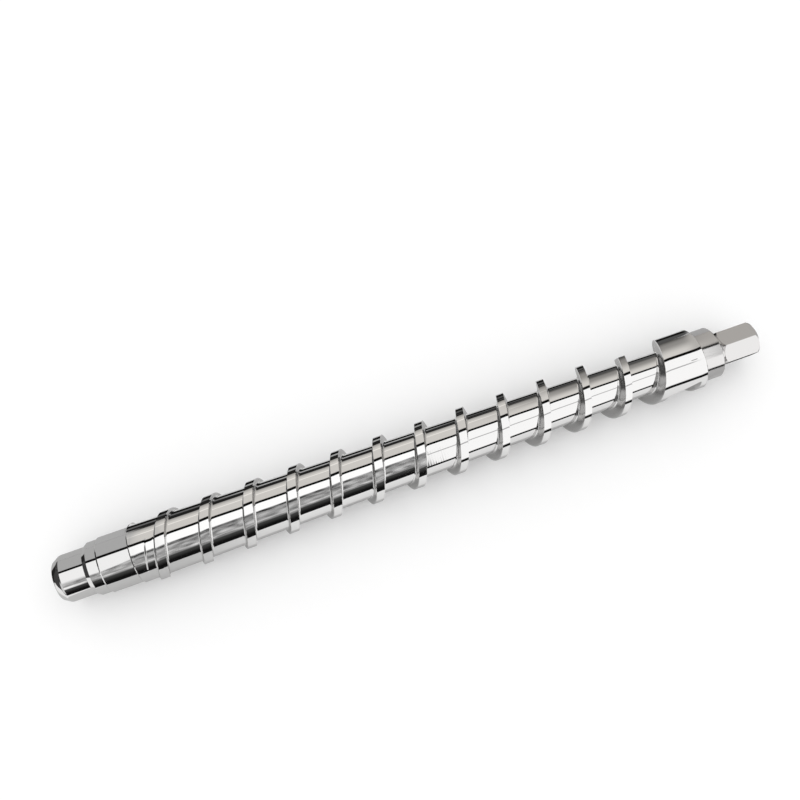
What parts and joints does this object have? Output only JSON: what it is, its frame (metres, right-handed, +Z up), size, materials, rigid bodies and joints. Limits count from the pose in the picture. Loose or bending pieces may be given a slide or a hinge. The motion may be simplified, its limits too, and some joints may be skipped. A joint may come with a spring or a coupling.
{
  "type": "oil press screw",
  "caption": "Slender left-hand pressing worm with a root that thickens towards the discharge end, a bearing journal, a collar with a spigot, and a hexagonal drive end.",
  "frame": {"origin": "centre of the underside of the box round the screw as it lies, so the axis is 10.5 mm above it", "axes": "+X along the screw towards the hexagonal drive end, +Z up; the screw lies on its flight and collar"},
  "size_m": [0.2454, 0.021, 0.021],
  "materials": {
    "steel": "turned and polished stainless steel"
  },
  "bodies": {
    "root": {"press_screw": "steel"}
  },
  "joints": []
}
